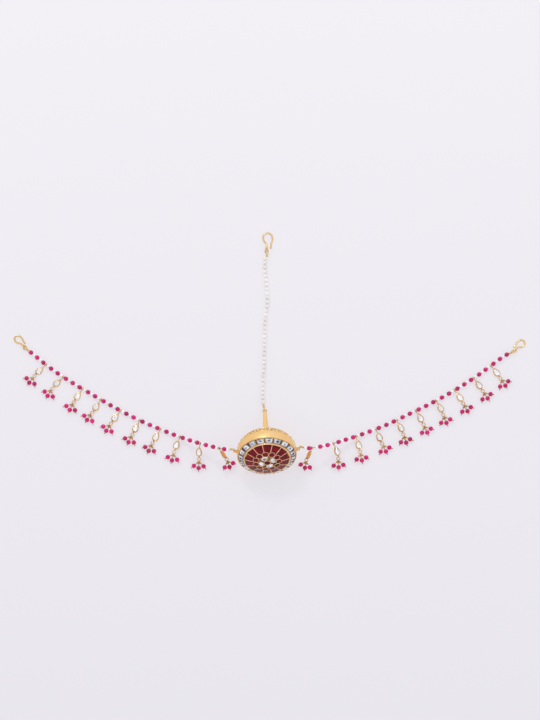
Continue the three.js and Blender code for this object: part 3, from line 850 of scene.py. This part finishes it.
def places_on(length, pattern):
    """Middles along a side string of each kind of piece in its pattern, as far as its length allows."""
    sizes = {"P": 2 * BEAD_RADIUS, "W": WHITE_LENGTH, "D": DROP_SLOT, "S": SLACK}
    places = {"P": [], "W": [], "D": [], "S": []}
    along = END_GAP
    for kind in pattern:
        end = along + sizes[kind]
        if end < length:
            places[kind].append((along + end) / 2)
        along = end
    return places


def bead_paint(point):
    """Glass coloured ruby pink, each bead a little different."""
    tone = point.noise(260, 1)
    return {"Base Color": tone.ramp(0.35, 0.65).colour(rgb(170, 0, 80), rgb(220, 8, 118))}


def white_paint(point):
    tone = point.noise(300, 1)
    return {"Base Color": tone.ramp(0.3, 0.7).colour(rgb(240, 239, 242), rgb(255, 255, 255))}


def pearl_paint(point):
    tone = point.noise(250, 2)
    return {
        "Base Color": tone.ramp(0.3, 0.7).colour(rgb(230, 220, 214), rgb(249, 244, 240)),
        "Roughness": tone * 0.1 + 0.22,
    }


# The thread is painted grey: its own pale colour darkened as painted shade in the gaps between the beads and
# in their holes.
def thread_and_gap_shade_paint(point):
    return {"Base Color": point.noise(1500, 2).colour(rgb(120, 118, 112), rgb(176, 172, 166))}


bead_glass = material(
    "bead_glass", bead_paint,
    {"Roughness": 0.3, "Specular IOR Level": 0.3, "Coat Weight": 0.3, "Coat Roughness": 0.12})
white_glass = material(
    "white_glass", white_paint, {"Roughness": 0.14, "Coat Weight": 0.6, "Coat Roughness": 0.05})
pearl = material("pearl", pearl_paint, {"Coat Weight": 0.6, "Coat Roughness": 0.12})
thread = material("thread", thread_and_gap_shade_paint, {"Roughness": 0.9})

THREAD_STEPS = 150
string_routes = {}
for side in ("left", "right"):
    route, links = route_of(side, BEAD_RADIUS)
    places = places_on(route.length, BEAD_PATTERNS[side])
    string_routes[side] = (route, places)
    bm = bmesh.new()
    for at in places["P"]:
        centre, way = route.at(at)
        ruby = bead_profile(BEAD_RADIUS - BEAD_GAP, BEAD_RADIUS, 9, BEAD_SQUARENESS)
        turned(bm, ruby, centre, way, 18, 0)
    for at in places["W"]:
        centre, way = route.at(at)
        white = bead_profile(WHITE_LENGTH / 2 - WHITE_GAP, WHITE_RADIUS, 8, WHITE_SQUARENESS)
        turned(bm, white, centre, way, 14, 1)
    stops = [route.length * k / THREAD_STEPS for k in range(THREAD_STEPS + 1)]
    tube(bm, [route.at(stop)[0] for stop in stops], THREAD_RADIUS, 8, 2)
    last_bead = max(places["P"][-1] + BEAD_RADIUS, places["W"][-1] + WHITE_LENGTH / 2)
    wound(bm, route, WOUND_START, END_GAP - WOUND_STOP, 3)
    wound(bm, route, last_bead + WOUND_STOP, route.length - WOUND_START, 3)
    for centre, axis, radius in links:
        wire_ring(bm, centre, axis, radius, LINK_WIRE, 3, 24, 10)
    finished(
        f"{side}_bead_string", bm, (bead_glass, white_glass, thread, polished_gold),
        [f"{side}_string"])

route, links = route_of("top", PEARL_RADIUS)
count = math.floor((route.length - 2 * PEARL_END) / PEARL_PITCH)
start = (route.length - count * PEARL_PITCH) / 2
bm = bmesh.new()
for k in range(count):
    centre, way = route.at(start + (k + 0.5) * PEARL_PITCH)
    round_pearl = bead_profile(PEARL_PITCH / 2 - PEARL_GAP, PEARL_RADIUS, 9, PEARL_SQUARENESS)
    turned(bm, round_pearl, centre, way, 18, 0)
stops = [route.length * k / 80 for k in range(81)]
tube(bm, [route.at(stop)[0] for stop in stops], THREAD_RADIUS, 8, 1)
wound(bm, route, WOUND_START, start, 2)
wound(bm, route, route.length - start, route.length - WOUND_START, 2)
for centre, axis, radius in links:
    wire_ring(bm, centre, axis, radius, LINK_WIRE, 2, 24, 10)
finished("pearls", bm, (pearl, thread, polished_gold), ["pearl_string"])

# Drops
# Ten small drops on each side string. A gold bail rides on the thread; a pear shaped gold leaf holds a
# clear stone; a jump ring below it holds three pins, each wound to an eye and carrying a ruby bead.

BAIL_INNER = 0.65
BAIL_OUTER = 1.05
NECK_WIRE = 0.28
LEAF_START = 2.3
LEAF_LENGTH = 6.4
LEAF_WIDTH = 4.2
LEAF_FRAME = 0.56
LINK_OVERLAP = 0.45
LINK_LENGTH = 3.1
PIN_LENGTH = 4.4
PIN_FAN = 46
PIN_TIP = 0.8
PIN_WIRE = 0.22
PIN_EYE_RADIUS = 0.55
PIN_HEAD = 0.4
WRAP_TURNS = 3
WRAP_PITCH = 0.4
WRAP_RADIUS = 0.4
WRAP_WIRE = 0.2
JUMP_RING_RADIUS = 1.05
JUMP_RING_WIRE = 0.28
LEAF_POINTS = 28
PEAR_POWER = 0.6
LEAF_MIDDLE = LEAF_START + LEAF_LENGTH / 2
# Band of a bail as (along, away from) its axis, and rings of a leaf and of its stone as (inset, height)
BAIL_BAND = [
    (-0.4, BAIL_INNER), (-0.42, 0.95), (-0.25, BAIL_OUTER),
    (0.25, BAIL_OUTER), (0.42, 0.95), (0.4, BAIL_INNER),
]
LEAF_WALL = [
    (0.35, 0.0), (0.05, 0.1), (0.0, 0.35), (0.0, 0.95),
    (0.1, 1.08), (LEAF_FRAME, 1.05), (LEAF_FRAME, 0.8),
]
LEAF_STONE = [(LEAF_FRAME, 0.7), (LEAF_FRAME, 1.0), (0.72, 1.26), (1.05, 1.38)]
# Materials of a drop
LEAF, STONE, BEAD, BACK, PIN = range(5)
# Swing about the thread, bend of the pins and roll of the leaf, in degrees, from the hook to the pendant
DROP_POSES = {
    "left": [
        (-9, -12, 0), (-12, -14, 0), (-3, -7, 0), (-2, 1, 0), (-9, -6, 0),
        (-1, -1, 0), (-7, -4, 0), (1, -6, 8), (16, -1, 25), (62, 19, 125),
    ],
    "right": [
        (-1, 3, -15), (0, 1, -18), (2, 5, -12), (-1, 6, -25), (3, 4, -15),
        (0, 7, -22), (0, -4, -8), (-6, 4, -12), (2, 18, -30), (-46, -18, -125),
    ],
}

leaf_stone = material(
    "leaf_stone", foil_paint(rgb(226, 227, 231), rgb(255, 255, 255)),
    {"Metallic": 0.25, "Coat Weight": 1.0, "Coat Roughness": 0.03})
back_gold = gold("back_gold", rgb(222, 140, 36), rgb(246, 172, 60), 0.3)
leaf_gold = gold("leaf_gold", rgb(204, 160, 104), rgb(236, 198, 146), 0.25)
pin_gold = gold("pin_gold", rgb(162, 116, 62), rgb(214, 166, 104), 0.3)


def drop_place(place, tangent, swing):
    """Place of a drop: y along it, z out of its face, square to the string and swung by some degrees."""
    square = Vector((tangent.y, -tangent.x, 0)) * (1 if tangent.x > 0 else -1)
    square = Matrix.Rotation(math.radians(swing), 3, "Z") @ square.normalized()
    reach = LEAF_START + LEAF_LENGTH + LINK_LENGTH + PIN_LENGTH + PIN_TIP
    pitch = math.asin(min(1, max(0, place.z - BEAD_RADIUS) / reach))
    ahead = square * math.cos(pitch) - UP * math.sin(pitch)
    face = square * math.sin(pitch) + UP * math.cos(pitch)
    turn = Matrix((ahead.cross(face), ahead, face)).transposed()
    return Matrix.Translation(place) @ turn.to_4x4()


def pear_outline(count):
    """Points of a pear: pointed at its start and round below, 1 wide and 1 long from its middle."""
    points = []
    for k in range(count):
        angle = 2 * math.pi * k / count
        points.append((math.sin(angle) * abs(math.sin(angle / 2)) ** PEAR_POWER, -math.cos(angle)))
    widest = max(x for x, _ in points)
    return [(x / widest, y) for x, y in points]


def leaf_ring(outline, inset, height):
    """Outline of the leaf drawn in by an inset, at a height."""
    half_width = LEAF_WIDTH / 2 - inset
    half_length = LEAF_LENGTH / 2 - inset * 1.5
    middle = LEAF_MIDDLE + inset * 0.3
    return [Vector((x * half_width, middle + y * half_length, height)) for x, y in outline]


def add_leaf(bm, lean, seat):
    """Leaf with its frame, its back, its stone and the neck that joins it to the bail."""
    outline = pear_outline(LEAF_POINTS)
    place = Matrix.Translation((0, 0, seat)) @ Matrix.Rotation(lean, 4, "Y")
    rings = [[place @ p for p in leaf_ring(outline, inset, height)] for inset, height in LEAF_WALL]
    faces = skin(bm, rings, LEAF)
    bottom = faces[-2]
    for face in [*faces[: len(outline)], bottom]:
        face.material_index = BACK
    rings = [[place @ p for p in leaf_ring(outline[::2], inset, height)] for inset, height in LEAF_STONE]
    skin(bm, rings, STONE, smooth=False)
    neck = [place @ Vector((0, LEAF_START + 0.3, 0.5)), Vector((0, BAIL_OUTER - 0.1, -0.3))]
    tube(bm, neck, NECK_WIRE, 10, LEAF)


def in_plane(degrees):
    """Way along the table, some degrees off the length of the drop."""
    return Vector((math.sin(math.radians(degrees)), math.cos(math.radians(degrees)), 0))


def add_pins(bm, foot, bend):
    """Jump ring under the leaf and three pins with their wound eyes, beads and tips."""
    way = in_plane(bend)
    level = Vector((0, foot.y, 0))
    ring_reach = LINK_OVERLAP + LINK_LENGTH
    reach = ring_reach + PIN_LENGTH
    knot = foot.lerp(level + way * reach, ring_reach / reach)
    wire_ring(bm, foot + Vector((0, 0.5, 0)), (1, 0, 0), PIN_EYE_RADIUS, 0.26, PIN, 16, 8)
    ring_middle = foot.lerp(knot, 0.62)
    wire_ring(bm, ring_middle, (0.15, 0, 1), JUMP_RING_RADIUS, JUMP_RING_WIRE, LEAF, 20, 8)
    for fan in (-PIN_FAN, 0, PIN_FAN):
        bead = level + way * ring_reach + in_plane(bend + fan) * PIN_LENGTH
        out = (bead - knot).normalized()
        eye = knot + out * 0.2
        wire_ring(bm, eye, out.cross(UP), PIN_EYE_RADIUS, PIN_WIRE, PIN, 16, 8)
        for turn in range(WRAP_TURNS):
            wire_ring(bm, eye + out * (0.75 + turn * WRAP_PITCH), out, WRAP_RADIUS, WRAP_WIRE, LEAF, 12, 6)
        tip = bead + out * (BEAD_RADIUS + PIN_TIP - 0.25)
        tube(bm, [eye + out * 0.5, bead, tip], PIN_WIRE, 8, PIN)
        granule(bm, tip, PIN_HEAD, PIN)
        turned(bm, bead_profile(BEAD_RADIUS - 0.05, BEAD_RADIUS, 9, 0.85), bead, out, 18, BEAD)


for side, (route, places) in string_routes.items():
    for i, (at, (swing, bend, roll)) in enumerate(zip(places["D"], DROP_POSES[side])):
        centre, tangent = route.at(at)
        place = drop_place(centre, tangent, swing)
        lean = math.radians(roll)
        seat = abs(math.sin(lean)) * LEAF_WIDTH / 2 - BEAD_RADIUS
        bm = bmesh.new()
        in_drop = place.to_3x3().transposed() @ tangent
        rings = [circle(in_drop * along, in_drop, radius, 22) for along, radius in BAIL_BAND]
        skin(bm, rings, LEAF, closed=True)
        add_leaf(bm, lean, seat)
        leaf_height = seat + 0.8 * math.cos(lean)
        foot = Vector((0, LEAF_START + LEAF_LENGTH - LINK_OVERLAP, min(0, leaf_height)))
        add_pins(bm, foot, bend)
        looks = (leaf_gold, leaf_stone, bead_glass, back_gold, pin_gold)
        number = f"{i + 1:02d}"
        finished(f"{side}_leaf_drop_{number}", bm, looks, [f"{side}_drop_{number}"], place)

# Table, light and camera
# Pale paper that glows a little, under soft light from the top of the picture. The camera looks down
# from the near side, tilted twelve degrees off straight down.

CAMERA_TILT = 12
CAMERA_AWAY = 6.0
TABLE_HALF = 3
PICTURE_WIDTH = 0.351
LOOK_AT = Vector((2.08, 65.05, 0))


def table_paint(point):
    """Paper that glows as in a light tent, a little more towards the top of the picture."""
    along = point.node("ShaderNodeSeparateXYZ", {0: point}, output=1)
    glow = along.ramp(-0.25, 0.25).colour(rgb(193, 191, 197), rgb(204, 201, 206))
    paper = point.noise(3, 2).colour(rgb(137, 135, 137), rgb(139, 137, 139))
    return {"Base Color": paper, "Emission Color": glow}


bm = bmesh.new()
bmesh.ops.create_grid(bm, x_segments=1, y_segments=1, size=TABLE_HALF)
mesh = bpy.data.meshes.new("table")
bm.to_mesh(mesh)
bm.free()
mesh.materials.append(material("table_paper", table_paint, {"Roughness": 0.8, "Emission Strength": 1.0}))
table = bpy.data.objects.new("table", mesh)
bpy.context.scene.collection.objects.link(table)


def area_light(name, place, target, size, power, tint):
    """Rectangular lamp, its size in metres and its power in watts, turned to its target."""
    lamp = bpy.data.lights.new(name, "AREA")
    lamp.shape = "RECTANGLE"
    lamp.size, lamp.size_y = size
    lamp.energy = power
    lamp.color = tint
    made = bpy.data.objects.new(name, lamp)
    made.location = place
    made.rotation_euler = (Vector(target) - Vector(place)).to_track_quat("-Z", "Y").to_euler()
    bpy.context.scene.collection.objects.link(made)


area_light("top_softbox", (-0.5, 1.3, 1.7), (0, 0, 0), (0.36, 0.3), 9, (1.0, 0.99, 0.98))
area_light("side_softbox", (1.4, -0.2, 1.3), (0, 0, 0), (0.5, 1.0), 1.5, (0.98, 0.99, 1.0))

world = bpy.data.worlds.new("studio")
bpy.context.scene.world = world
world.use_nodes = True
world.node_tree.nodes["Background"].inputs["Color"].default_value = (0.95, 0.96, 1.0, 1.0)
world.node_tree.nodes["Background"].inputs["Strength"].default_value = 0.88
bpy.context.scene.view_settings.view_transform = "Standard"

lens = bpy.data.cameras.new("camera")
lens.sensor_fit = "HORIZONTAL"
lens.sensor_width = 36
lens.lens = lens.sensor_width * CAMERA_AWAY / PICTURE_WIDTH
camera = bpy.data.objects.new("camera", lens)
tilt = math.radians(CAMERA_TILT)
camera.location = TO_ROW @ LOOK_AT + Vector((0, -math.sin(tilt), math.cos(tilt))) * CAMERA_AWAY
camera.rotation_euler = (tilt, 0, 0)
bpy.context.scene.collection.objects.link(camera)
bpy.context.scene.camera = camera
